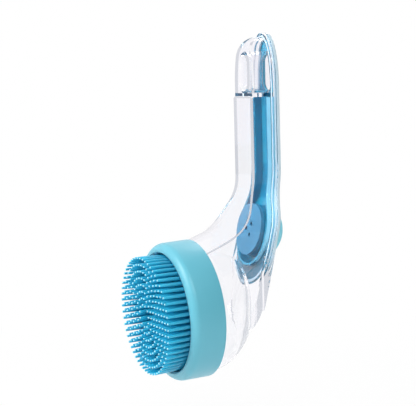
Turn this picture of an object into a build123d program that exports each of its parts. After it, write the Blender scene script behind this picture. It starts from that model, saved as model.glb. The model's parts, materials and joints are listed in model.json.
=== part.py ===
from build123d import *
from math import cos, pi, radians, sin, tan
import os

# Pet bath brush with a shampoo reservoir in its clear handle and a squeeze button on its back.
# Millimetres. The origin is the middle of the hanging slot, on the back face of the handle.
# +Z runs up the handle, +Y points out of the back, the bristles face -Y, and X = 0 is the mirror plane.
# Heights below the slot are given as drops, and distances in front of the back face as depths.

# --- handle and paddle, seen from the front ---
tip_rise = 20.8
arch_height = 27.0
grip_width = 24.0
flare_start_drop = 58.0
flare_end_drop = 82.0
paddle_width = 40.0
chin_drop = 119.0
flare_softness = 1.2

# --- back profile, seen from the side ---
lean_start_drop = 48.0
lean_radius = 80.0
lean_angle = 13.5

# --- clear body ---
wall = 2.0
flange_overhang = 2.0
flange_thickness = 2.6
flange_front_depth = 15.8
grip_depth = 16.0
sweep_radius = 31.0
throat_angle = 20.0
throat_radius = 36.0
tip_step_drop = 13.0
tip_step = 1.0
nose_height = 10.0
nose_depth = 8.0
reservoir_top_drop = 12.5
partition = 2.0

# --- hanging slot ---
slot_width = 9.0
slot_height = 19.0
slot_wall = 1.5

# --- head ---
head_drop = 121.3
head_reach = 45.5
head_tilt = 3.5
mouth_radius = 34.4
mouth_length = 10.0

# --- bowl sections between the mouth and the back: depth, bottom drop, top drop, half width ---
bowl_sections = ((27.0, 149.8, 87.4, 22.4),)
bowl_end_radius = 9.0
bowl_end_drop = 125.0
bowl_end_setback = 0.5

# --- back cover ---
cover_thickness = 1.8
cover_end_drop = 91.5
skirt_depth = 4.2
skirt_wall = 1.6
skirt_gap = 0.2
skirt_end_drop = 85.5
gasket_width = 1.4
gasket_height = 1.0
gasket_inset = 1.2
gasket_gap = 0.05

# --- squeeze button and its well ---
button_drop = 84.0
well_radius = 11.9
well_wall = 1.6
well_depth = 4.6
button_hole_radius = 10.9
button_radius = 15.5
button_step = 2.5
button_rise = 2.4
button_skin = 1.2
button_gap = 0.3
button_crown = 0.9
bead_height = 1.4
retainer_height = 2.0
retainer_radius = 9.0
fit_gap = 0.1
floor_thickness = 1.6
floor_port_radius = 1.1
floor_port_ring = 3.2
floor_port_count = 3
floor_lip = 1.0

# --- brush head ---
ring_radius = 36.0
ring_length = 18.0
ring_round = 4.4
ring_clearance = 0.25
rim_radius = 31.0
rim_bevel = 1.2
plate_thickness = 2.0
plate_gap = 0.3
spigot_length = 7.0
spigot_wall = 2.6
spigot_clearance = 0.4
seal_section = 1.6
seal_stand = 0.25
seal_setback = 4.0
pad_thickness = 2.0
bristle_length = 15.7
bristle_root = 0.3
bristle_root_radius = 1.05
bristle_tip_radius = 0.55
bristle_pitch = 3.8
bristle_rows = 7
bristle_row_pitch = 3.9
bristle_first_row = 5.6
bristle_lean = 4.5
valve_flange_radius = 5.5
valve_flange_thickness = 1.2
valve_nose_radius = 2.4
valve_nose_length = 5.2
valve_slit_length = 3.2
valve_slit_width = 0.3
valve_skin = 0.7
valve_cup_wall = 1.4
clip_radius = 6.6
clip_thickness = 1.6
clip_hole_radius = 3.4

margin = 20.0
half_block = 60.0
body_inset = flange_overhang
cavity_inset = flange_overhang + wall
seat_depth = cover_thickness + flange_thickness
block_reach = head_reach + ring_length + margin
tip_top = tip_rise + margin
block_bottom = head_drop + mouth_radius + margin


def outline(inset, end_drop):
    """Front view of the handle and paddle, shrunk by inset, with its round end centred end_drop down."""
    half_grip = grip_width / 2 - inset
    half_paddle = paddle_width / 2 - inset
    arch_foot = tip_rise - arch_height
    with BuildSketch(Plane.XZ) as view:
        with BuildLine():
            EllipticalCenterArc((0, arch_foot), half_grip, arch_height - inset, 0, arc_size=90)
            Line((half_grip, arch_foot), (half_grip, -flare_start_drop))
            Spline(
                (half_grip, -flare_start_drop),
                (half_paddle, -flare_end_drop),
                tangents=[(0, -1), (0, -1)],
                tangent_scalars=[flare_softness, flare_softness],
            )
            Line((half_paddle, -flare_end_drop), (half_paddle, -end_drop))
            CenterArc((0, -end_drop), half_paddle, -90, 90)
            mirror(about=Plane.YZ)
        make_face()
    return view.sketch


def prism(face, near=-margin, far=None):
    """A front-view face made a solid that runs along Y, from near to far in front of the back face."""
    far = block_reach if far is None else far
    with BuildPart() as solid:
        extrude(face.moved(Location((0, -near, 0))), amount=far - near, dir=(0, -1, 0))
    return solid.part


def slot_face(grow):
    """The hanging slot seen from the front, grown by grow all round."""
    with BuildSketch(Plane.XZ) as view:
        SlotOverall(slot_height + 2 * grow, slot_width + 2 * grow, rotation=90)
    return view.sketch


def ahead_of(depth):
    """Everything in front of the surface that lies depth inside the leaning back profile."""
    with BuildPart() as solid:
        with BuildSketch(Plane.YZ):
            with BuildLine():
                straight = Line((-depth, tip_top), (-depth, -lean_start_drop))
                bend = CenterArc((-lean_radius, -lean_start_drop), lean_radius - depth, 0, -lean_angle)
                lean = PolarLine(bend @ 1, block_bottom - lean_start_drop, -90 - lean_angle)
                Polyline(
                    lean @ 1,
                    (-block_reach, (lean @ 1).Y),
                    (-block_reach, tip_top),
                    straight @ 0,
                )
            make_face()
        extrude(amount=half_block, both=True)
    return solid.part


def swept_front(inset):
    """Everything behind the grip's front face, which flares into a trumpet round the head's axis."""
    start_depth = grip_depth + sweep_radius * (1 - sin(radians(throat_angle)))
    start_radius = throat_radius + (head_reach - start_depth) * tan(radians(throat_angle))
    centre_depth = grip_depth + sweep_radius
    centre_z = start_radius + sweep_radius * cos(radians(throat_angle)) - head_drop
    with BuildPart() as solid:
        with BuildSketch(Plane.YZ):
            with BuildLine():
                front = Line((inset - grip_depth, tip_top), (inset - grip_depth, centre_z))
                sweep = CenterArc((-centre_depth, centre_z), sweep_radius + inset, 0, throat_angle - 90)
                throat = PolarLine(sweep @ 1, margin + head_reach - start_depth, 180 + throat_angle)
                Polyline(
                    throat @ 1,
                    ((throat @ 1).X, -head_drop),
                    (margin, -head_drop),
                    (margin, tip_top),
                    front @ 0,
                )
            make_face()
        revolve(axis=Axis((0, 0, -head_drop), (0, 1, 0)))
    return solid.part


def nose_cutter(inset):
    """What the rounded nose and the shallow step at the tip take off the front of the handle."""
    step_y = tip_step + inset - grip_depth
    round_top = tip_rise - flange_overhang - inset
    round_foot = tip_rise - flange_overhang - nose_height
    with BuildPart() as solid:
        with BuildSketch(Plane.YZ):
            with BuildLine():
                ramp = Line((step_y - tip_step, -tip_step_drop), (step_y, tip_step - tip_step_drop))
                face = Line(ramp @ 1, (step_y, round_foot))
                nose = EllipticalCenterArc(
                    (step_y + nose_depth - inset, round_foot),
                    nose_depth - inset,
                    round_top - round_foot,
                    90,
                    arc_size=90,
                )
                Polyline(
                    nose @ 0,
                    ((nose @ 0).X, tip_top),
                    (-block_reach, tip_top),
                    (-block_reach, -tip_step_drop),
                    ramp @ 0,
                )
            make_face()
        extrude(amount=half_block, both=True)
    return solid.part


head_plane = Plane(
    origin=(0, -head_reach, -head_drop),
    x_dir=(1, 0, 0),
    z_dir=(0, -cos(radians(head_tilt)), -sin(radians(head_tilt))),
)


def back_depth(drop):
    """Depth of the leaning back face at a drop below the end of its bend."""
    bend_drop = lean_start_drop + lean_radius * sin(radians(lean_angle))
    bend_depth = lean_radius * (1 - cos(radians(lean_angle)))
    return bend_depth + (drop - bend_drop) * tan(radians(lean_angle))


def leaning_plane(drop, depth):
    """A plane parallel to the leaning back face, depth inside it, facing out of the back."""
    out = Vector(0, cos(radians(lean_angle)), -sin(radians(lean_angle)))
    foot = Vector(0, -back_depth(drop), -drop)
    return Plane(origin=foot - out * depth, x_dir=(-1, 0, 0), z_dir=out)


def bowl(inset, end_depth):
    """The bowl from its round mouth to its round end on the leaning back, shrunk by inset."""
    with BuildPart() as solid:
        with BuildSketch(head_plane):
            Circle(mouth_radius - inset)
        for depth, bottom, top, half_width in bowl_sections:
            with BuildSketch(Plane.XZ.offset(depth)):
                with Locations((0, -(bottom + top) / 2)):
                    Ellipse(half_width - inset, (bottom - top) / 2 - inset)
        with BuildSketch(leaning_plane(bowl_end_drop, end_depth)):
            Circle(bowl_end_radius - inset)
        loft()
    return solid.part


def ahead_of_head(offset):
    """Everything in front of the head plane moved forward by offset."""
    with BuildPart() as solid:
        with BuildSketch(head_plane.offset(offset)):
            Rectangle(2 * half_block, 2 * half_block)
        extrude(amount=block_reach)
    return solid.part


# The clear body: grip trough, neck, bowl, mouth, flange and chin in one moulding.
body_prism = prism(outline(body_inset, chin_drop))
flange_prism = prism(outline(0, chin_drop))
seat_prism = prism(outline(-fit_gap, cover_end_drop))
opening_prism = prism(outline(cavity_inset, skirt_end_drop))
cavity_prism = prism(outline(cavity_inset, chin_drop))
groove_outer = prism(outline(gasket_inset - gasket_gap, cover_end_drop))
groove_inner = prism(outline(gasket_inset + gasket_width + gasket_gap, cover_end_drop))
ahead_back = ahead_of(0)
ahead_cover = ahead_of(cover_thickness)
ahead_flange = ahead_of(seat_depth)
ahead_groove = ahead_of(cover_thickness + gasket_height + gasket_gap)
front_outer = swept_front(0)
front_inner = swept_front(wall)
nose_outer = nose_cutter(0)
nose_inner = nose_cutter(wall)
head_front = ahead_of_head(0)
bowl_outer = bowl(0, 0)
bowl_inner = bowl(wall, seat_depth + bowl_end_setback)

with BuildPart() as outer_shape:
    add(body_prism)
    add(front_outer, mode=Mode.INTERSECT)
    add(ahead_back, mode=Mode.INTERSECT)
    add(nose_outer, mode=Mode.SUBTRACT)
    add(head_front, mode=Mode.SUBTRACT)
    add(bowl_outer)

with BuildPart() as flange_shape:
    add(flange_prism)
    add(ahead_back, mode=Mode.INTERSECT)
    add(ahead_flange, mode=Mode.SUBTRACT)
    # The flange's front face stays upright where the back leans in to meet it, so the flange runs out.
    with Locations((0, -flange_front_depth, 0)):
        Box(
            2 * half_block,
            block_reach,
            2 * block_bottom,
            align=(Align.CENTER, Align.MAX, Align.CENTER),
            mode=Mode.SUBTRACT,
        )

with BuildPart() as cavity_shape:
    add(cavity_prism)
    add(ahead_flange, mode=Mode.INTERSECT)
    add(opening_prism)
    add(front_inner, mode=Mode.INTERSECT)
    add(nose_inner, mode=Mode.SUBTRACT)
    add(head_front, mode=Mode.SUBTRACT)
    with Locations((0, 0, partition / 2 - reservoir_top_drop)):
        Box(2 * half_block, 2 * block_reach, partition, mode=Mode.SUBTRACT)
    add(bowl_inner)

with BuildPart() as cover_seat:
    add(seat_prism)
    add(ahead_cover, mode=Mode.SUBTRACT)

with BuildPart() as gasket_groove:
    add(groove_outer)
    add(groove_inner, mode=Mode.SUBTRACT)
    add(ahead_cover, mode=Mode.INTERSECT)
    add(ahead_groove, mode=Mode.SUBTRACT)

tunnel_prism = prism(slot_face(slot_wall), cover_thickness, grip_depth - tip_step)
slot_prism = prism(slot_face(0))

with BuildPart() as slot_tunnel:
    add(tunnel_prism)

with BuildPart() as clear_body:
    add(outer_shape.part)
    add(flange_shape.part)
    with BuildSketch(head_plane):
        Circle(mouth_radius)
    extrude(amount=mouth_length)
    add(cavity_shape.part, mode=Mode.SUBTRACT)
    with BuildSketch(head_plane):
        Circle(mouth_radius - wall)
    extrude(amount=mouth_length, mode=Mode.SUBTRACT)
    # The seat of the cover and the groove of the gasket.
    add(cover_seat.part, mode=Mode.SUBTRACT)
    add(gasket_groove.part, mode=Mode.SUBTRACT)
    # The tunnel of the hanging slot, between the front of the tip and the flange.
    add(slot_tunnel.part)
    add(slot_prism, mode=Mode.SUBTRACT)
    clear_body.part.label = "clear_body"


# The back cover: a plate on the flange, a skirt that plugs the grip and a round well for the button.
skirt_outer = prism(outline(cavity_inset + skirt_gap, skirt_end_drop))
skirt_inner = prism(outline(cavity_inset + skirt_gap + skirt_wall, skirt_end_drop))
cover_prism = prism(outline(0, cover_end_drop))
ahead_skirt = ahead_of(cover_thickness + skirt_depth)
button_plane = leaning_plane(button_drop, 0)

with BuildPart() as cover_skirt:
    add(skirt_outer)
    add(skirt_inner, mode=Mode.SUBTRACT)
    add(ahead_cover, mode=Mode.INTERSECT)
    add(ahead_skirt, mode=Mode.SUBTRACT)
    with Locations((0, 0, tip_rise - reservoir_top_drop - skirt_gap)):
        Box(2 * half_block, 2 * block_reach, 2 * tip_rise, mode=Mode.SUBTRACT)

with BuildPart() as back_cover:
    add(cover_prism)
    add(ahead_back, mode=Mode.INTERSECT)
    add(ahead_cover, mode=Mode.SUBTRACT)
    add(cover_skirt.part)
    with BuildSketch(button_plane.offset(-cover_thickness)):
        Circle(well_radius + well_wall)
    extrude(amount=-well_depth)
    with BuildSketch(button_plane.offset(-cover_thickness)):
        Circle(well_radius)
    extrude(amount=-well_depth, mode=Mode.SUBTRACT)
    with BuildSketch(button_plane):
        Circle(button_hole_radius)
    extrude(amount=-cover_thickness, mode=Mode.SUBTRACT)
    add(slot_prism, mode=Mode.SUBTRACT)
    back_cover.part.label = "back_cover"

# The gasket lies in the flange's groove and meets the inside of the cover.
gasket_outer = prism(outline(gasket_inset, cover_end_drop))
gasket_inner = prism(outline(gasket_inset + gasket_width, cover_end_drop))
ahead_gasket = ahead_of(cover_thickness + gasket_height)

with BuildPart() as cover_gasket:
    add(gasket_outer)
    add(gasket_inner, mode=Mode.SUBTRACT)
    add(ahead_cover, mode=Mode.INTERSECT)
    add(ahead_gasket, mode=Mode.SUBTRACT)
    cover_gasket.part.label = "cover_gasket"


# The squeeze button. Its profiles are drawn in the plane X = 0, out along the button's axis,
# and revolved about that axis.
button_axis = Axis(button_plane.origin, button_plane.z_dir)
button_profile_plane = Plane(
    origin=button_plane.origin, x_dir=-button_plane.x_dir, z_dir=button_plane.y_dir
)
dome_radius = button_radius - 3 * button_step
bead_radius = well_radius - fit_gap
neck_radius = button_hole_radius - fit_gap
bead_foot = -cover_thickness - bead_height
neck_bore = neck_radius - button_skin
well_foot = -cover_thickness - well_depth


def turned(plane, *points):
    """A solid turned about the plane's own Y axis from points given as (radius, height)."""
    with BuildPart() as solid:
        with BuildSketch(plane):
            with BuildLine():
                Polyline(*points, close=True)
            make_face()
        revolve(axis=Axis(plane.origin, plane.y_dir))
    return solid.part


def tread(count, skin=0.0):
    """Radius and height where the stepped button turns over its step number count, inside by skin."""
    return button_radius - count * button_step - skin, (count + 1) * button_rise - skin


dome_foot = tread(2, button_skin)[1]
dome_top = tread(3)[1]

bellows_blank = turned(
    button_profile_plane,
    (neck_bore, bead_foot),
    (bead_radius, bead_foot),
    (bead_radius, -cover_thickness),
    (neck_radius, -cover_thickness),
    (neck_radius, 0),
    (button_radius, 0),
    tread(0),
    (tread(1)[0], tread(0)[1]),
    tread(1),
    (tread(2)[0], tread(1)[1]),
    tread(2),
    (dome_radius + button_gap, tread(2)[1]),
    (dome_radius + button_gap, tread(2, button_skin)[1]),
    tread(2, button_skin),
    (tread(2, button_skin)[0], tread(1, button_skin)[1]),
    tread(1, button_skin),
    (tread(1, button_skin)[0], tread(0, button_skin)[1]),
    (neck_bore, tread(0, button_skin)[1]),
)

with BuildPart() as button_bellows:
    add(bellows_blank)
    button_bellows.part.label = "button_bellows"

with BuildPart() as button_dome:
    with BuildSketch(button_profile_plane):
        with BuildLine():
            side = Line((dome_radius, dome_foot), (dome_radius, dome_top - button_crown))
            crown = TangentArc((0, dome_top), side @ 1, tangent=(1, 0))
            Polyline(crown @ 0, (0, dome_foot), side @ 0)
        make_face()
    revolve(axis=button_axis)
    button_dome.part.label = "button_dome"

with BuildPart() as button_retainer:
    with BuildSketch(button_plane.offset(bead_foot)):
        Circle(bead_radius)
        Circle(retainer_radius, mode=Mode.SUBTRACT)
    extrude(amount=-retainer_height)
    button_retainer.part.label = "button_retainer"

with BuildPart() as well_floor:
    with BuildSketch(button_plane.offset(well_foot)):
        Circle(well_radius + well_wall)
    extrude(amount=-floor_thickness)
    with BuildSketch(button_plane.offset(well_foot)):
        Circle(bead_radius)
        Circle(retainer_radius, mode=Mode.SUBTRACT)
    extrude(amount=floor_lip)
    with BuildSketch(button_plane.offset(well_foot)):
        with PolarLocations(floor_port_ring, floor_port_count):
            Circle(floor_port_radius)
    extrude(amount=-floor_thickness, mode=Mode.SUBTRACT)
    well_floor.part.label = "well_floor"


# The brush head. Heights run forward from the head plane along the head's axis.
head_profile_plane = Plane(
    origin=head_plane.origin, x_dir=head_plane.x_dir, z_dir=-head_plane.y_dir
)
head_axis = Axis(head_plane.origin, head_plane.z_dir)
plate_foot = mouth_length + plate_gap
plate_top = plate_foot + plate_thickness
pad_top = plate_top + pad_thickness
ring_bore = mouth_radius + ring_clearance
spigot_radius = mouth_radius - wall - spigot_clearance
seal_groove_radius = spigot_radius + seal_stand - seal_section - gasket_gap
nose_bore = valve_nose_radius - valve_skin
nose_hole = valve_nose_radius + fit_gap
clip_foot = plate_foot - valve_flange_thickness - clip_thickness
cup_radius = clip_radius + fit_gap
cup_foot = clip_foot - fit_gap

with BuildPart() as head_ring:
    with BuildSketch(head_profile_plane):
        with BuildLine():
            outside = Line((ring_radius, 0), (ring_radius, ring_length - ring_round))
            rounding = CenterArc(
                (ring_radius - ring_round, ring_length - ring_round), ring_round, 0, 90
            )
            Polyline(
                rounding @ 1,
                (rim_radius, ring_length - rim_bevel),
                (rim_radius, pad_top),
                (ring_bore, pad_top),
                (ring_bore, 0),
                outside @ 0,
            )
        make_face()
    revolve(axis=head_axis)
    head_ring.part.label = "head_ring"

plate_blank = turned(
    head_profile_plane,
    (0, plate_foot),
    (cup_radius, plate_foot),
    (cup_radius, cup_foot),
    (cup_radius + valve_cup_wall, cup_foot),
    (cup_radius + valve_cup_wall, plate_foot),
    (spigot_radius - spigot_wall, plate_foot),
    (spigot_radius - spigot_wall, plate_foot - spigot_length),
    (spigot_radius, plate_foot - spigot_length),
    (spigot_radius, seal_setback - seal_section / 2 - gasket_gap + plate_gap),
    (seal_groove_radius, seal_setback - seal_section / 2 - gasket_gap + plate_gap),
    (seal_groove_radius, seal_setback + seal_section / 2 + gasket_gap + plate_gap),
    (spigot_radius, seal_setback + seal_section / 2 + gasket_gap + plate_gap),
    (spigot_radius, plate_foot),
    (mouth_radius, plate_foot),
    (mouth_radius, plate_top),
    (0, plate_top),
)

with BuildPart() as support_plate:
    add(plate_blank)
    with BuildSketch(head_plane.offset(plate_foot)):
        Circle(nose_hole)
    extrude(amount=plate_thickness, mode=Mode.SUBTRACT)
    support_plate.part.label = "support_plate"

with BuildPart() as head_seal:
    with BuildSketch(head_profile_plane):
        with Locations((spigot_radius + seal_stand - seal_section / 2, seal_setback + plate_gap)):
            Circle(seal_section / 2)
    revolve(axis=head_axis)
    head_seal.part.label = "head_seal"

valve_blank = turned(
    head_profile_plane,
    (nose_bore, plate_foot - valve_flange_thickness),
    (valve_flange_radius, plate_foot - valve_flange_thickness),
    (valve_flange_radius, plate_foot),
    (valve_nose_radius, plate_foot),
    (valve_nose_radius, plate_foot + valve_nose_length - valve_skin),
    (nose_bore, plate_foot + valve_nose_length),
    (0, plate_foot + valve_nose_length),
    (0, plate_foot + valve_nose_length - valve_skin),
    (nose_bore, plate_foot + valve_nose_length - valve_skin),
)

with BuildPart() as outlet_valve:
    add(valve_blank)
    with BuildSketch(head_plane.offset(plate_foot + valve_nose_length - valve_skin)):
        Rectangle(valve_slit_length, valve_slit_width)
        Rectangle(valve_slit_width, valve_slit_length)
    extrude(amount=valve_skin, mode=Mode.SUBTRACT)
    outlet_valve.part.label = "outlet_valve"

with BuildPart() as valve_clip:
    with BuildSketch(head_plane.offset(clip_foot)):
        Circle(clip_radius)
        Circle(clip_hole_radius, mode=Mode.SUBTRACT)
    extrude(amount=clip_thickness)
    valve_clip.part.label = "valve_clip"

with BuildPart() as bristle:
    with BuildSketch(Plane.XZ):
        with BuildLine():
            tip = CenterArc(
                (0, bristle_length - bristle_tip_radius), bristle_tip_radius, 0, 90
            )
            Polyline(tip @ 1, (0, -bristle_root), (bristle_root_radius, -bristle_root), tip @ 0)
        make_face()
    revolve(axis=Axis.Z)

last_row = bristle_first_row + (bristle_rows - 1) * bristle_row_pitch
bristle_places = []
for row in range(bristle_rows):
    row_radius = bristle_first_row + row * bristle_row_pitch
    count = round(2 * pi * row_radius / bristle_pitch)
    for index in range(count):
        spin = Location((0, 0, 0), (0, 0, 360 * index / count))
        lean = Location((row_radius, 0, pad_top), (0, bristle_lean * row_radius / last_row, 0))
        bristle_places.append(head_plane.location * spin * lean)

with BuildPart() as brush_pad:
    with BuildSketch(head_plane.offset(plate_top)):
        Circle(mouth_radius)
        Circle(nose_hole, mode=Mode.SUBTRACT)
    extrude(amount=pad_thickness)
    add([bristle.part.moved(place) for place in bristle_places])
    brush_pad.part.label = "brush_pad"

os.makedirs("parts", exist_ok=True)
export_step(clear_body.part, "parts/clear_body.step")
export_step(back_cover.part, "parts/back_cover.step")
export_step(cover_gasket.part, "parts/cover_gasket.step")
export_step(button_bellows.part, "parts/button_bellows.step")
export_step(button_dome.part, "parts/button_dome.step")
export_step(button_retainer.part, "parts/button_retainer.step")
export_step(well_floor.part, "parts/well_floor.step")
export_step(head_ring.part, "parts/head_ring.step")
export_step(support_plate.part, "parts/support_plate.step")
export_step(head_seal.part, "parts/head_seal.step")
export_step(outlet_valve.part, "parts/outlet_valve.step")
export_step(valve_clip.part, "parts/valve_clip.step")
export_step(brush_pad.part, "parts/brush_pad.step")
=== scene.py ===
import json
from math import cos, pi, radians, sin, tau

import bmesh
import bpy
from mathutils import Matrix, Vector


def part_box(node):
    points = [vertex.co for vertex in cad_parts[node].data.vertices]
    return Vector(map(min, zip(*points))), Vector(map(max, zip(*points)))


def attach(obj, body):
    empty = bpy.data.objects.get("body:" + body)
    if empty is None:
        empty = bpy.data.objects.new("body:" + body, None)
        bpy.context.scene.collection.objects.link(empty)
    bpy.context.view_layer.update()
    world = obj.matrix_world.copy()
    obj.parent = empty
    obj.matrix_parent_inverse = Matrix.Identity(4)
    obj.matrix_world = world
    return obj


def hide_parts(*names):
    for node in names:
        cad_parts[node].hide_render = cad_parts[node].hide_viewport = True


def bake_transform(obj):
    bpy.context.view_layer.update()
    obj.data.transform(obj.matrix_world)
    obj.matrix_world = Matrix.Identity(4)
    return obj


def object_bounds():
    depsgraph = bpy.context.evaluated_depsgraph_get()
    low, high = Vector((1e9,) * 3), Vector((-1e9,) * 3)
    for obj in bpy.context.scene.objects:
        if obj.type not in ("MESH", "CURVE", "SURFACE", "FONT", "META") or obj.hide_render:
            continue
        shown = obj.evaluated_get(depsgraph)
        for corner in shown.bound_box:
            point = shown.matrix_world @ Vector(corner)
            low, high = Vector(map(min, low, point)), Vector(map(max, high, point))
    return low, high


# Pet bath brush: clear shampoo handle, blue back cover with a stepped squeeze button, and a round
# silicone brush head. Metres. +Z runs up the handle, +Y out of its back, and the bristles face -Y.

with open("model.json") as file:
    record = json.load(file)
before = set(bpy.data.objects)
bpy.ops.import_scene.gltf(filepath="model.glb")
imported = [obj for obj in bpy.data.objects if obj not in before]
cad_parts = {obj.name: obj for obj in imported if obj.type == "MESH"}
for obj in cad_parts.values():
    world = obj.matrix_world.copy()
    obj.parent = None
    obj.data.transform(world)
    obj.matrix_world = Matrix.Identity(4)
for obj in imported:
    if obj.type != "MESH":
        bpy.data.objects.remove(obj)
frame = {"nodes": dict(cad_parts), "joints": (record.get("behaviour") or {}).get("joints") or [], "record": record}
cad_box = [list(corner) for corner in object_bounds()]
MM = 0.001

# --- sizes of the pieces made here ---
ring_radius = 36.0 * MM
ring_length = 18.0 * MM
ring_bore = 34.65 * MM
ring_round = 4.4 * MM
ring_back_round = 0.5 * MM
rim_radius = 31.0 * MM
rim_height = 16.8 * MM
rim_round = 0.7 * MM
pad_radius = 34.3 * MM
pad_back = 12.3 * MM
pad_front = 14.3 * MM
pad_hole = 2.5 * MM
seal_ahead = 4.3 * MM

bristle_length = 15.7 * MM
bristle_root_radius = 1.05 * MM
bristle_tip_radius = 0.6 * MM
bristle_foot_flare = 0.4 * MM
bristle_pitch = 3.2 * MM
bristle_rows = 8
bristle_row_pitch = 3.34 * MM
bristle_first_row = 5.6 * MM
bristle_lean = radians(4.5)
bristle_sides = 10
bristle_sunk = 0.2 * MM
# Length of the painted highlight at each bristle tip.
tip_highlight_length = 0.7 * MM

button_radius = 15.5 * MM
button_step = 2.5 * MM
button_rise = 2.4 * MM
button_skin = 1.2 * MM
button_neck = 10.8 * MM
button_round = 0.75 * MM
button_crown = 0.9 * MM
button_steps = 3
cover_thickness = 1.8 * MM
bead_radius = 11.8 * MM
bead_height = 1.4 * MM
retainer_depth = 4.2 * MM

lean_start = 48.0 * MM
lean_radius = 80.0 * MM
cover_edge = 0.4 * MM
cover_edge_angle = radians(35)
neck_margin = 0.6 * MM
skin_margin = 0.05 * MM
skirt_clear_of_well = 14 * MM
beside_slot_width = 6 * MM
beside_slot_height = 11 * MM
flat_angle = radians(0.2)
weld_distance = 0.001 * MM

fine_turn = 192

# --- places, from the frame ---
joint_axes = {joint["name"]: Vector(joint["axis"]).normalized() for joint in frame["joints"]}
head_forward = joint_axes["head_pull"]
button_out = -joint_axes["button_press"]


def middle_of(node):
    low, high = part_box(node)
    return (low + high) / 2


head_origin = middle_of("head_seal") - head_forward * seal_ahead
button_origin = middle_of("button_retainer") + button_out * retainer_depth


def stand(origin, forward):
    """The turn and place that put +Z along forward and the origin at origin."""
    side = Vector((1, 0, 0))
    up = forward.cross(side)
    return Matrix.Translation(origin) @ Matrix((side, up, forward)).transposed().to_4x4()


head_stand = stand(head_origin, head_forward)
button_stand = stand(button_origin, button_out)


# --- shader maths ---
class Wire:
    """A value in a material's node tree. Sums on it add Math nodes."""

    def __init__(self, shade, socket):
        self.shade = shade
        self.socket = socket

    def __add__(self, other):
        return self.shade.sum("ADD", self, other)

    def __sub__(self, other):
        return self.shade.sum("SUBTRACT", self, other)

    def __rsub__(self, other):
        return self.shade.sum("SUBTRACT", other, self)

    def __mul__(self, other):
        return self.shade.sum("MULTIPLY", self, other)

    __radd__ = __add__
    __rmul__ = __mul__


class Shade:
    """A material being built."""

    def __init__(self, name):
        self.material = bpy.data.materials.new(name)
        self.material.use_nodes = True
        self.tree = self.material.node_tree
        self.tree.nodes.clear()

    def add(self, kind, settings=None, sockets=None, out=0):
        node = self.tree.nodes.new(kind)
        for key, value in (settings or {}).items():
            setattr(node, key, value)
        for key, value in (sockets or {}).items():
            if isinstance(value, Wire):
                self.tree.links.new(value.socket, node.inputs[key])
            else:
                node.inputs[key].default_value = value
        return Wire(self, node.outputs[out]) if node.outputs else None

    def sum(self, operation, first, second=0.0):
        return self.add("ShaderNodeMath", {"operation": operation}, {0: first, 1: second})

    def place(self):
        """Object coordinates."""
        return self.add("ShaderNodeTexCoord", out="Object")

    def along(self, origin, way):
        """Distance past the origin along a unit way, in metres."""
        reach = self.add(
            "ShaderNodeVectorMath", {"operation": "DOT_PRODUCT"}, {0: self.place(), 1: way}, out="Value"
        )
        return reach - way.dot(origin)

    def ramp(self, value, start, end, smooth=True):
        """From 0 at start to 1 at end."""
        kind = "SMOOTHSTEP" if smooth else "LINEAR"
        return self.add(
            "ShaderNodeMapRange", {"interpolation_type": kind}, {"Value": value, "From Min": start, "From Max": end}
        )

    def noise(self, scale, detail=3.0):
        """Smooth noise from 0 to 1, with scale features to the metre."""
        return self.add("ShaderNodeTexNoise", None, {"Vector": self.place(), "Scale": scale, "Detail": detail})

    def blend(self, factor, first, second):
        """A colour that goes from first to second."""
        return self.add(
            "ShaderNodeMix",
            {"data_type": "RGBA"},
            {"Factor": factor, 6: first, 7: second},
            out=2,
        )

    def bump(self, height, depth):
        """A normal from a height, depth metres deep."""
        return self.add("ShaderNodeBump", None, {"Height": height, "Distance": depth, "Strength": 1.0})

    def finish(self, **sockets):
        names = {key: key.replace("_", " ") for key in sockets}
        surface = self.add("ShaderNodeBsdfPrincipled", None, {names[key]: sockets[key] for key in sockets})
        self.add("ShaderNodeOutputMaterial", None, {"Surface": surface})
        return self.material

    def add_output(self, surface):
        self.add("ShaderNodeOutputMaterial", None, {"Surface": surface})
        return self.material


# Grey of the painted glow that rays end in once they pass these bounce counts in the clear walls.
deep_ray_painted_glow = (0.66, 0.68, 0.73, 1)
shadow_tint = (0.66, 0.78, 0.84, 1)
most_bounces = 8.5
most_glances = 2.5
# Painted shade at the bristle roots, the shafts' own mid blue, and a painted highlight for the tips.
bristle_root_painted_shade = (0.008, 0.27, 0.46, 1)
bristle_mid = (0.025, 0.49, 0.74, 1)
bristle_tip_painted_highlight = (0.45, 0.86, 0.98, 1)
tip_height = pad_front + bristle_length


def clear_plastic():
    """Clear polished plastic. Rays that have bounced too long in its walls end in a soft grey emission, a painted glow
    in place of the dark they would give.
    """
    shade = Shade("clear_plastic")
    haze = shade.noise(60.0)
    glass = shade.add(
        "ShaderNodeBsdfPrincipled",
        None,
        {
            "Base Color": (0.985, 0.985, 1.0, 1),
            "Roughness": haze * 0.04 + 0.02,
            "IOR": 1.42,
            "Transmission Weight": 1.0,
        },
    )
    # Painted glow: a grey emission that stands in for light on rays deep in the walls.
    painted_glow = shade.add("ShaderNodeEmission", None, {"Color": deep_ray_painted_glow, "Strength": 1.0})
    bounces = shade.add("ShaderNodeLightPath", out="Ray Depth")
    glances = shade.add("ShaderNodeLightPath", out="Glossy Depth")
    wandered = shade.sum(
        "MAXIMUM",
        shade.sum("GREATER_THAN", bounces, most_bounces),
        shade.sum("GREATER_THAN", glances, most_glances),
    )
    inside = shade.add("ShaderNodeMixShader", None, {0: wandered, 1: glass, 2: painted_glow})
    open_way = shade.add("ShaderNodeBsdfTransparent", None, {"Color": shadow_tint})
    shadow = shade.add("ShaderNodeLightPath", out="Is Shadow Ray")
    surface = shade.add("ShaderNodeMixShader", None, {0: shadow, 1: inside, 2: open_way})
    return shade.add_output(surface)


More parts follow.
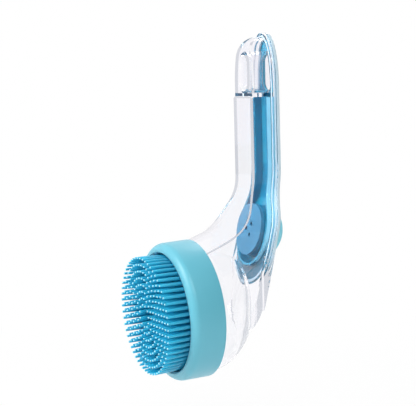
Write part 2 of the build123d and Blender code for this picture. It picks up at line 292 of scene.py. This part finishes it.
def blue_plastic():
    """Polished blue plastic of the cover's outside."""
    shade = Shade("blue_plastic")
    cloud = shade.noise(35.0)
    return shade.finish(
        Base_Color=shade.blend(cloud, (0.012, 0.27, 0.42, 1), (0.018, 0.31, 0.47, 1)),
        Roughness=cloud * 0.08 + 0.16,
        Coat_Weight=0.3,
        Coat_Roughness=0.06,
    )


def cover_inside_painted_shade():
    """The cover's inside: its blue darkened as painted shade, with little gloss of its own."""
    shade = Shade("cover_inside_painted_shade")
    cloud = shade.noise(35.0)
    return shade.finish(
        Base_Color=shade.blend(cloud, (0.002, 0.18, 0.32, 1), (0.004, 0.21, 0.36, 1)),
        Roughness=cloud * 0.08 + 0.2,
        Specular_IOR_Level=0.12,
    )


def cover_side_painted_light():
    """The skirt's outward sides, which lie against the clear walls, painted much paler than the cover's blue as
    painted light.
    """
    shade = Shade("cover_side_painted_light")
    cloud = shade.noise(35.0)
    return shade.finish(
        Base_Color=shade.blend(cloud, (0.27, 0.67, 0.87, 1), (0.32, 0.71, 0.90, 1)),
        Roughness=cloud * 0.1 + 0.25,
        Specular_IOR_Level=0.25,
    )


def cover_rim_painted_highlight():
    """The cover's rim, painted pale as a painted highlight on its rounded edge."""
    shade = Shade("cover_rim_painted_highlight")
    cloud = shade.noise(50.0)
    return shade.finish(
        Base_Color=shade.blend(cloud, (0.52, 0.69, 0.78, 1), (0.60, 0.74, 0.82, 1)),
        Roughness=cloud * 0.08 + 0.15,
        Coat_Weight=0.3,
    )


def inner_blue_painted_shade():
    """The blue of the disc inside the reservoir, darker than the cover's outside as painted shade, without the gloss.
    """
    shade = Shade("inner_blue_painted_shade")
    cloud = shade.noise(45.0)
    return shade.finish(
        Base_Color=shade.blend(cloud, (0.015, 0.17, 0.31, 1), (0.02, 0.20, 0.35, 1)),
        Roughness=cloud * 0.1 + 0.3,
    )


def silicone(name, dark, light, roughness=0.42):
    """Soft satin silicone with a fine skin."""
    shade = Shade(name)
    cloud = shade.noise(40.0)
    grain = shade.noise(2600.0, 2.0)
    return shade.finish(
        Base_Color=shade.blend(cloud, dark, light),
        Roughness=cloud * 0.12 + (roughness - 0.06),
        Normal=shade.bump(grain, 0.012 * MM),
        Sheen_Weight=0.15,
        Sheen_Roughness=0.5,
    )


def bristle_silicone():
    """Soft silicone, darkened towards the roots as painted shade and lightened at the thin tips as a painted
    highlight.
    """
    shade = Shade("blue_silicone")
    cloud = shade.noise(60.0)
    ahead = shade.along(head_origin, head_forward)
    # Painted shade darkens each shaft towards its root; a painted highlight lightens the end of each tip.
    shaft_painted_shade = shade.blend(shade.ramp(ahead, pad_front, tip_height), bristle_root_painted_shade, bristle_mid)
    tips_painted_highlight = shade.blend(shade.ramp(ahead, tip_height - tip_highlight_length, tip_height), shaft_painted_shade, bristle_tip_painted_highlight)
    return shade.finish(
        Base_Color=tips_painted_highlight,
        Roughness=cloud * 0.1 + 0.3,
        Specular_IOR_Level=0.5,
        Coat_Weight=0.2,
        Coat_Roughness=0.2,
    )


def white_plastic():
    """Satin white plastic inside the head."""
    shade = Shade("white_plastic")
    cloud = shade.noise(50.0)
    return shade.finish(
        Base_Color=shade.blend(cloud, (0.78, 0.82, 0.86, 1), (0.84, 0.87, 0.90, 1)),
        Roughness=cloud * 0.1 + 0.35,
    )


def seal_silicone():
    """Milky silicone of the seals and the valve."""
    shade = Shade("seal_silicone")
    cloud = shade.noise(80.0)
    return shade.finish(
        Base_Color=shade.blend(cloud, (0.62, 0.76, 0.84, 1), (0.70, 0.82, 0.88, 1)),
        Roughness=cloud * 0.1 + 0.4,
    )


materials = {
    "clear_plastic": clear_plastic(),
    "blue_plastic": blue_plastic(),
    "inner_blue_painted_shade": inner_blue_painted_shade(),
    "cover_inside_painted_shade": cover_inside_painted_shade(),
    "cover_side_painted_light": cover_side_painted_light(),
    "cover_rim_painted_highlight": cover_rim_painted_highlight(),
    "ring_plastic": silicone("ring_plastic", (0.10, 0.44, 0.56, 1), (0.13, 0.49, 0.61, 1), 0.38),
    "blue_silicone": bristle_silicone(),
    "button_silicone": silicone("button_silicone", (0.24, 0.70, 0.84, 1), (0.30, 0.76, 0.88, 1)),
    "white_plastic": white_plastic(),
    "seal_silicone": seal_silicone(),
}

slots = {entry["node"]: entry["material_slot"] for entry in frame["record"]["subparts"]}


def wear(piece, slot, finish=None):
    """The piece takes the finish of that slot, or a variant of it."""
    piece.data.materials.clear()
    piece.data.materials.append(materials[finish or slot])


def link(name, mesh):
    piece = bpy.data.objects.new(name, mesh)
    bpy.context.scene.collection.objects.link(piece)
    return piece


# --- turned pieces ---
def arc(centre, radius, start, end, count=8):
    """Points on an arc, as (radius, height), with the angles in degrees."""
    turns = [radians(start + (end - start) * step / count) for step in range(count + 1)]
    return [(centre[0] + radius * cos(turn), centre[1] + radius * sin(turn)) for turn in turns]


def turned(name, profile, sides=fine_turn, place=Matrix.Identity(4), closed=True):
    """A mesh turned about +Z from a profile of (radius, height) points, then placed."""
    mesh = bpy.data.meshes.new(name)
    shape = bmesh.new()
    rings = []
    for radius, height in profile:
        if radius < 1e-7:
            rings.append([shape.verts.new((0, 0, height))])
            continue
        spots = [tau * side / sides for side in range(sides)]
        rings.append([shape.verts.new((radius * cos(s), radius * sin(s), height)) for s in spots])
    pairs = list(zip(rings, rings[1:]))
    if closed:
        pairs.append((rings[-1], rings[0]))
    for low, high in pairs:
        for side in range(sides):
            after = (side + 1) % sides
            corners = [low[side % len(low)], low[after % len(low)], high[after % len(high)], high[side % len(high)]]
            corners = list(dict.fromkeys(corners))
            if len(corners) > 2:
                shape.faces.new(corners)
    bmesh.ops.recalc_face_normals(shape, faces=shape.faces)
    shape.transform(place)
    shape.to_mesh(mesh)
    shape.free()
    for face in mesh.polygons:
        face.use_smooth = True
    return link(name, mesh)


def head_collar():
    """The turquoise collar: a band with a rounded front and a lip round the bristles."""
    shoulder = (ring_radius - ring_round, ring_length - ring_round)
    profile = (
        arc((ring_radius - ring_back_round, ring_back_round), ring_back_round, -90, 0, 4)
        + arc(shoulder, ring_round, 0, 90, 14)
        + arc((rim_radius + rim_round, rim_height - rim_round), rim_round, 90, 180, 6)
        + [(rim_radius, pad_front), (ring_bore, pad_front), (ring_bore, 0)]
    )
    piece = turned("head_collar", profile, place=head_stand)
    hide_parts("head_ring")
    wear(piece, "ring_plastic")
    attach(piece, "brush_head")


def bristle_shape():
    """One bristle, along +Z from its root."""
    tip = (0, bristle_length - bristle_tip_radius)
    profile = (
        [
            (bristle_root_radius + bristle_foot_flare, -bristle_sunk),
            (bristle_root_radius, bristle_foot_flare),
            (bristle_root_radius * 0.8 + bristle_tip_radius * 0.2, bristle_length * 0.5),
        ]
        + arc(tip, bristle_tip_radius, 0, 90, 3)
    )
    return turned("bristle", [(0, -bristle_sunk)] + profile, bristle_sides, closed=False)


def bristle_tree(shape):
    """Rings of points on the pad, with a bristle on each that leans outwards with its distance."""
    tree = bpy.data.node_groups.new("bristle_rings", "GeometryNodeTree")
    for name in ("First Row", "Row Pitch", "Lean"):
        tree.interface.new_socket(name, in_out="INPUT", socket_type="NodeSocketFloat")
    tree.interface.new_socket("Geometry", in_out="OUTPUT", socket_type="NodeSocketGeometry")
    nodes, links = tree.nodes, tree.links
    given = nodes.new("NodeGroupInput")
    join = nodes.new("GeometryNodeJoinGeometry")
    for row in range(bristle_rows):
        step = nodes.new("ShaderNodeMath")
        step.operation = "MULTIPLY_ADD"
        step.inputs[0].default_value = row
        links.new(given.outputs["Row Pitch"], step.inputs[1])
        links.new(given.outputs["First Row"], step.inputs[2])
        circle = nodes.new("GeometryNodeMeshCircle")
        row_radius = bristle_first_row + row * bristle_row_pitch
        circle.inputs["Vertices"].default_value = round(tau * row_radius / bristle_pitch)
        links.new(step.outputs[0], circle.inputs["Radius"])
        links.new(circle.outputs[0], join.inputs[0])
    spot = nodes.new("GeometryNodeInputPosition")
    last_row = bristle_first_row + (bristle_rows - 1) * bristle_row_pitch
    outward = nodes.new("ShaderNodeVectorMath")
    outward.operation = "SCALE"
    links.new(spot.outputs[0], outward.inputs[0])
    share = nodes.new("ShaderNodeMath")
    share.operation = "DIVIDE"
    links.new(given.outputs["Lean"], share.inputs[0])
    share.inputs[1].default_value = last_row
    links.new(share.outputs[0], outward.inputs["Scale"])
    aim = nodes.new("ShaderNodeVectorMath")
    aim.operation = "ADD"
    links.new(outward.outputs[0], aim.inputs[0])
    aim.inputs[1].default_value = (0, 0, 1)
    align = nodes.new("FunctionNodeAlignRotationToVector")
    align.axis = "Z"
    links.new(aim.outputs[0], align.inputs["Vector"])
    one = nodes.new("GeometryNodeObjectInfo")
    one.inputs["Object"].default_value = shape
    place = nodes.new("GeometryNodeInstanceOnPoints")
    links.new(join.outputs[0], place.inputs["Points"])
    links.new(one.outputs["Geometry"], place.inputs["Instance"])
    links.new(align.outputs[0], place.inputs["Rotation"])
    real = nodes.new("GeometryNodeRealizeInstances")
    links.new(place.outputs[0], real.inputs[0])
    coat = nodes.new("GeometryNodeSetMaterial")
    coat.inputs["Material"].default_value = materials["blue_silicone"]
    links.new(real.outputs[0], coat.inputs[0])
    result = nodes.new("NodeGroupOutput")
    links.new(coat.outputs[0], result.inputs[0])
    return tree


def evaluated(piece, name):
    """A plain mesh object of what the piece's modifiers make."""
    depsgraph = bpy.context.evaluated_depsgraph_get()
    mesh = bpy.data.meshes.new_from_object(piece.evaluated_get(depsgraph))
    result = link(name, mesh)
    bpy.data.objects.remove(piece)
    return result


def bristle_pad():
    """The silicone pad and its rings of bristles."""
    shape = bristle_shape()
    carrier = link("bristle_carrier", bpy.data.meshes.new("bristle_carrier"))
    rings = carrier.modifiers.new("rings", "NODES")
    rings.node_group = bristle_tree(shape)
    sizes = {"First Row": bristle_first_row, "Row Pitch": bristle_row_pitch, "Lean": bristle_lean}
    for socket in rings.node_group.interface.items_tree:
        if socket.in_out == "INPUT":
            rings[socket.identifier] = sizes[socket.name]
    bristles = evaluated(carrier, "bristles")
    bpy.data.objects.remove(shape)
    bristles.data.transform(head_stand @ Matrix.Translation((0, 0, pad_front)))
    profile = [(pad_hole, pad_back), (pad_radius, pad_back), (pad_radius, pad_front)]
    pad = turned("bristle_pad", profile + [(pad_hole, pad_front)], place=head_stand)
    both = bmesh.new()
    both.from_mesh(pad.data)
    both.from_mesh(bristles.data)
    both.to_mesh(pad.data)
    both.free()
    bpy.data.objects.remove(bristles)
    for face in pad.data.polygons:
        face.use_smooth = True
    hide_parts("brush_pad")
    wear(pad, "blue_silicone")
    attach(pad, "brush_head")


def step_corner(count, skin=0.0):
    """Radius and height of the outer corner of the button's step."""
    return button_radius - count * button_step - skin, (count + 1) * button_rise - skin


def squeeze_button():
    """The stepped silicone button, from its bead in the well to its domed top."""
    r = button_round
    outside = [(bead_radius, -cover_thickness), (button_neck, -cover_thickness), (button_neck, 0)]
    outside += arc((button_radius - r * 0.5, r * 0.5), r * 0.5, -90, 0, 3)
    for count in range(button_steps):
        radius, height = step_corner(count)
        outside += arc((radius - r, height - r), r, 0, 90, 5)
        inner = radius - button_step
        outside += arc((inner + r * 0.4, height + r * 0.4), r * 0.4, -90, -180, 3)
    radius, height = step_corner(button_steps)
    outside += arc((radius - r, height - button_crown - r), r, 0, 70, 5)
    crown = [(radius * share, height - button_crown * share * share * 0.8) for share in (0.75, 0.5, 0.25, 0)]
    outside += crown
    inside = [(0, height - button_skin * 1.5)]
    for count in reversed(range(button_steps + 1)):
        radius, height = step_corner(count, button_skin)
        inside += [(radius, height), (radius, height - button_rise)]
    inside = inside[:-1]
    inside += [(button_neck - button_skin, inside[-1][1]), (button_neck - button_skin, -cover_thickness - bead_height)]
    inside += [(bead_radius, -cover_thickness - bead_height)]
    piece = turned("squeeze_button", outside + inside, place=button_stand)
    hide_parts("button_bellows", "button_dome")
    wear(piece, "button_silicone")
    button_origin + button_out * step_corner(button_steps, button_skin)[1]
    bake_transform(piece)


def back_depth(point):
    """How far a point lies inside the leaning back face, in metres, and that face's outward normal."""
    turn = button_out.angle(Vector((0, 1, 0)))
    arm = Vector((0, point.y + lean_radius, point.z + lean_start))
    if arm.z >= 0:
        return -point.y, Vector((0, 1, 0))
    out = Vector((0, cos(turn), -sin(turn)))
    if arm.angle(Vector((0, 1, 0))) > turn:
        return lean_radius - arm.dot(out), out
    return lean_radius - arm.length, arm.normalized()


def cover_material_for(face):
    """Which of the cover's materials a face takes: plain blue, painted shade inside the cover, painted light on the
    skirt's outward sides, and a painted highlight on the rim.
    """
    depth, out = back_depth(face.center)
    beside_slot = abs(face.center.x) < beside_slot_width and abs(face.center.z) < beside_slot_height
    arm = face.center - button_origin
    off_axis = (arm - button_out * arm.dot(button_out)).length
    if beside_slot or off_axis < button_neck + neck_margin:
        return "blue_plastic"
    # Painted shade on faces inside the cover, painted light on the skirt's outward sides.
    if depth > cover_thickness - skin_margin:
        sideways = face.normal.x * face.center.x > 0 and abs(face.normal.x) > 0.6
        return "cover_side_painted_light" if sideways and off_axis > skirt_clear_of_well else "cover_inside_painted_shade"
    # Painted highlight on the rim's faces.
    return "cover_rim_painted_highlight" if abs(face.normal.dot(out)) < 0.55 else "blue_plastic"


def back_cover():
    """A copy of the moulded cover with its edges rounded, in plain blue with painted shade, painted light and a
    painted highlight on chosen faces.
    """
    mesh = frame["nodes"]["back_cover"].data.copy()
    piece = link("cover_blank", mesh)
    shape = bmesh.new()
    shape.from_mesh(mesh)
    bmesh.ops.remove_doubles(shape, verts=shape.verts, dist=weld_distance)
    bmesh.ops.dissolve_limit(shape, angle_limit=flat_angle, verts=shape.verts, edges=shape.edges)
    shape.to_mesh(mesh)
    shape.free()
    for face in mesh.polygons:
        face.use_smooth = True
    edge = piece.modifiers.new("edge", "BEVEL")
    edge.width = cover_edge
    edge.segments = 2
    edge.limit_method = "ANGLE"
    edge.angle_limit = cover_edge_angle
    even = piece.modifiers.new("even", "WEIGHTED_NORMAL")
    even.weight = 100
    piece = evaluated(piece, "cover_shell")
    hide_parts("back_cover")
    wear(piece, slots["back_cover"])
    cover_materials = ["blue_plastic", "cover_inside_painted_shade", "cover_side_painted_light", "cover_rim_painted_highlight"]
    for finish in cover_materials[1:]:
        piece.data.materials.append(materials[finish])
    for face in piece.data.polygons:
        face.material_index = cover_materials.index(cover_material_for(face))
    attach(piece, "handle")


def moulded_nodes():
    """The nodes whose own shape is right take their finish."""
    for name, piece in frame["nodes"].items():
        # The well floor takes the darker blue, painted shade inside the reservoir.
        wear(piece, slots[name], "inner_blue_painted_shade" if name == "well_floor" else None)


# --- camera, light and ground ---
view_distance = 800 * MM
view_azimuth = 65.0
view_elevation = 5.0
view_roll = -1.5
view_focal_per_distance = 1.915
view_target = Vector((0, -35, -68)) * MM
view_right = -2.0 * MM
view_up = 1.0 * MM
image_width = 416


def camera():
    azimuth, elevation = radians(view_azimuth), radians(view_elevation)
    away = Vector((sin(azimuth) * cos(elevation), -cos(azimuth) * cos(elevation), sin(elevation)))
    right = Vector((cos(azimuth), sin(azimuth), 0))
    up = away.cross(right)
    turn = Matrix((right, up, away)).transposed() @ Matrix.Rotation(radians(view_roll), 3, "Z")
    data = bpy.data.cameras.new("camera")
    data.lens = data.sensor_width * view_focal_per_distance * view_distance / MM / image_width
    data.clip_start = 0.01
    target = view_target + right * view_right + up * view_up
    eye = link("camera", data)
    eye.matrix_world = Matrix.Translation(target + away * view_distance) @ turn.to_4x4()
    bpy.context.scene.camera = eye


def softbox(name, place, target, size, power):
    """A square soft light that faces target."""
    data = bpy.data.lights.new(name, "AREA")
    data.shape = "RECTANGLE"
    data.size, data.size_y = size
    data.energy = power
    lamp = link(name, data)
    lamp.location = place
    lamp.rotation_euler = (Vector(target) - Vector(place)).to_track_quat("-Z", "Y").to_euler()


sky_strength = 0.42
paper_colour = (0.97, 0.96, 0.98, 1)
room_side = (0.9, 0.43, 0.0)


def surroundings():
    """A white backdrop for what looks at it, and a soft grey sky for the light."""
    world = bpy.data.worlds.new("studio")
    world.use_nodes = True
    bpy.context.scene.world = world
    nodes, links = world.node_tree.nodes, world.node_tree.links
    nodes.clear()
    path = nodes.new("ShaderNodeLightPath")
    sky = nodes.new("ShaderNodeBackground")
    sky.inputs["Color"].default_value = (1, 1, 1, 1)
    sky.inputs["Strength"].default_value = sky_strength
    shown = nodes.new("ShaderNodeBackground")
    shown.inputs["Color"].default_value = (1, 1, 1, 1)
    shown.inputs["Strength"].default_value = 1.0
    paper = nodes.new("ShaderNodeBackground")
    paper.inputs["Color"].default_value = paper_colour
    paper.inputs["Strength"].default_value = 1.0
    room = nodes.new("ShaderNodeBackground")
    room.inputs["Color"].default_value = paper_colour
    way = nodes.new("ShaderNodeTexCoord")
    towards = nodes.new("ShaderNodeVectorMath")
    towards.operation = "DOT_PRODUCT"
    links.new(way.outputs["Generated"], towards.inputs[0])
    towards.inputs[1].default_value = room_side
    dim = nodes.new("ShaderNodeMapRange")
    links.new(towards.outputs["Value"], dim.inputs["Value"])
    dim.inputs["From Min"].default_value = -0.1
    dim.inputs["From Max"].default_value = 0.7
    dim.inputs["To Min"].default_value = 0.95
    dim.inputs["To Max"].default_value = 0.1
    links.new(dim.outputs["Result"], room.inputs["Strength"])
    backdrop = nodes.new("ShaderNodeMixShader")
    links.new(path.outputs["Is Glossy Ray"], backdrop.inputs[0])
    links.new(sky.outputs[0], backdrop.inputs[1])
    links.new(room.outputs[0], backdrop.inputs[2])
    through = nodes.new("ShaderNodeMixShader")
    links.new(path.outputs["Is Transmission Ray"], through.inputs[0])
    links.new(backdrop.outputs[0], through.inputs[1])
    links.new(paper.outputs[0], through.inputs[2])
    mix = nodes.new("ShaderNodeMixShader")
    links.new(path.outputs["Is Camera Ray"], mix.inputs[0])
    links.new(through.outputs[0], mix.inputs[1])
    links.new(shown.outputs[0], mix.inputs[2])
    out = nodes.new("ShaderNodeOutputWorld")
    links.new(mix.outputs[0], out.inputs["Surface"])


floor_gap = 45 * MM
floor_half = 3.0
floor_colour = (0.85, 0.85, 0.85, 1)
shadow_share = 0.2
shadow_fades = (0.12, 0.5)


def ground():
    """A plain pale floor below the brush."""
    height = cad_box[0][2] - floor_gap
    mesh = bpy.data.meshes.new("ground")
    corners = [(x * floor_half, y * floor_half) for x, y in ((-1, -1), (1, -1), (1, 1), (-1, 1))]
    mesh.from_pydata([(x, y, height) for x, y in corners], [], [(0, 1, 2, 3)])
    shade = Shade("ground")
    path = shade.add("ShaderNodeLightPath")
    through = shade.add("ShaderNodeLightPath", out="Is Transmission Ray")
    seen = shade.add("ShaderNodeMath", {"operation": "MAXIMUM"}, {0: path, 1: through})
    matt = shade.add("ShaderNodeBsdfDiffuse", None, {"Color": floor_colour})
    glow = shade.add("ShaderNodeEmission", None, {"Color": (1, 1, 1, 1), "Strength": 1.0})
    reach = shade.add("ShaderNodeVectorMath", {"operation": "LENGTH"}, {0: shade.place()}, out="Value")
    far = shade.ramp(reach, *shadow_fades)
    shown = seen * (far * shadow_share + (1 - shadow_share))
    surface = shade.add("ShaderNodeMixShader", None, {0: shown, 1: matt, 2: glow})
    shade.add_output(surface)
    floor = link("ground", mesh)
    mesh.materials.append(shade.material)


def studio():
    centre = view_target
    softbox("key", (-0.1, -1.0, 0.6), centre, (0.6, 0.6), 11)
    softbox("fill", (0.8, -0.3, 0.75), centre, (0.5, 0.5), 5)
    softbox("back", (-0.6, 0.7, 0.5), centre, (0.6, 0.6), 4)
    bpy.context.scene.view_settings.view_transform = "Standard"


moulded_nodes()
head_collar()
bristle_pad()
squeeze_button()
back_cover()
camera()
surroundings()
ground()
studio()
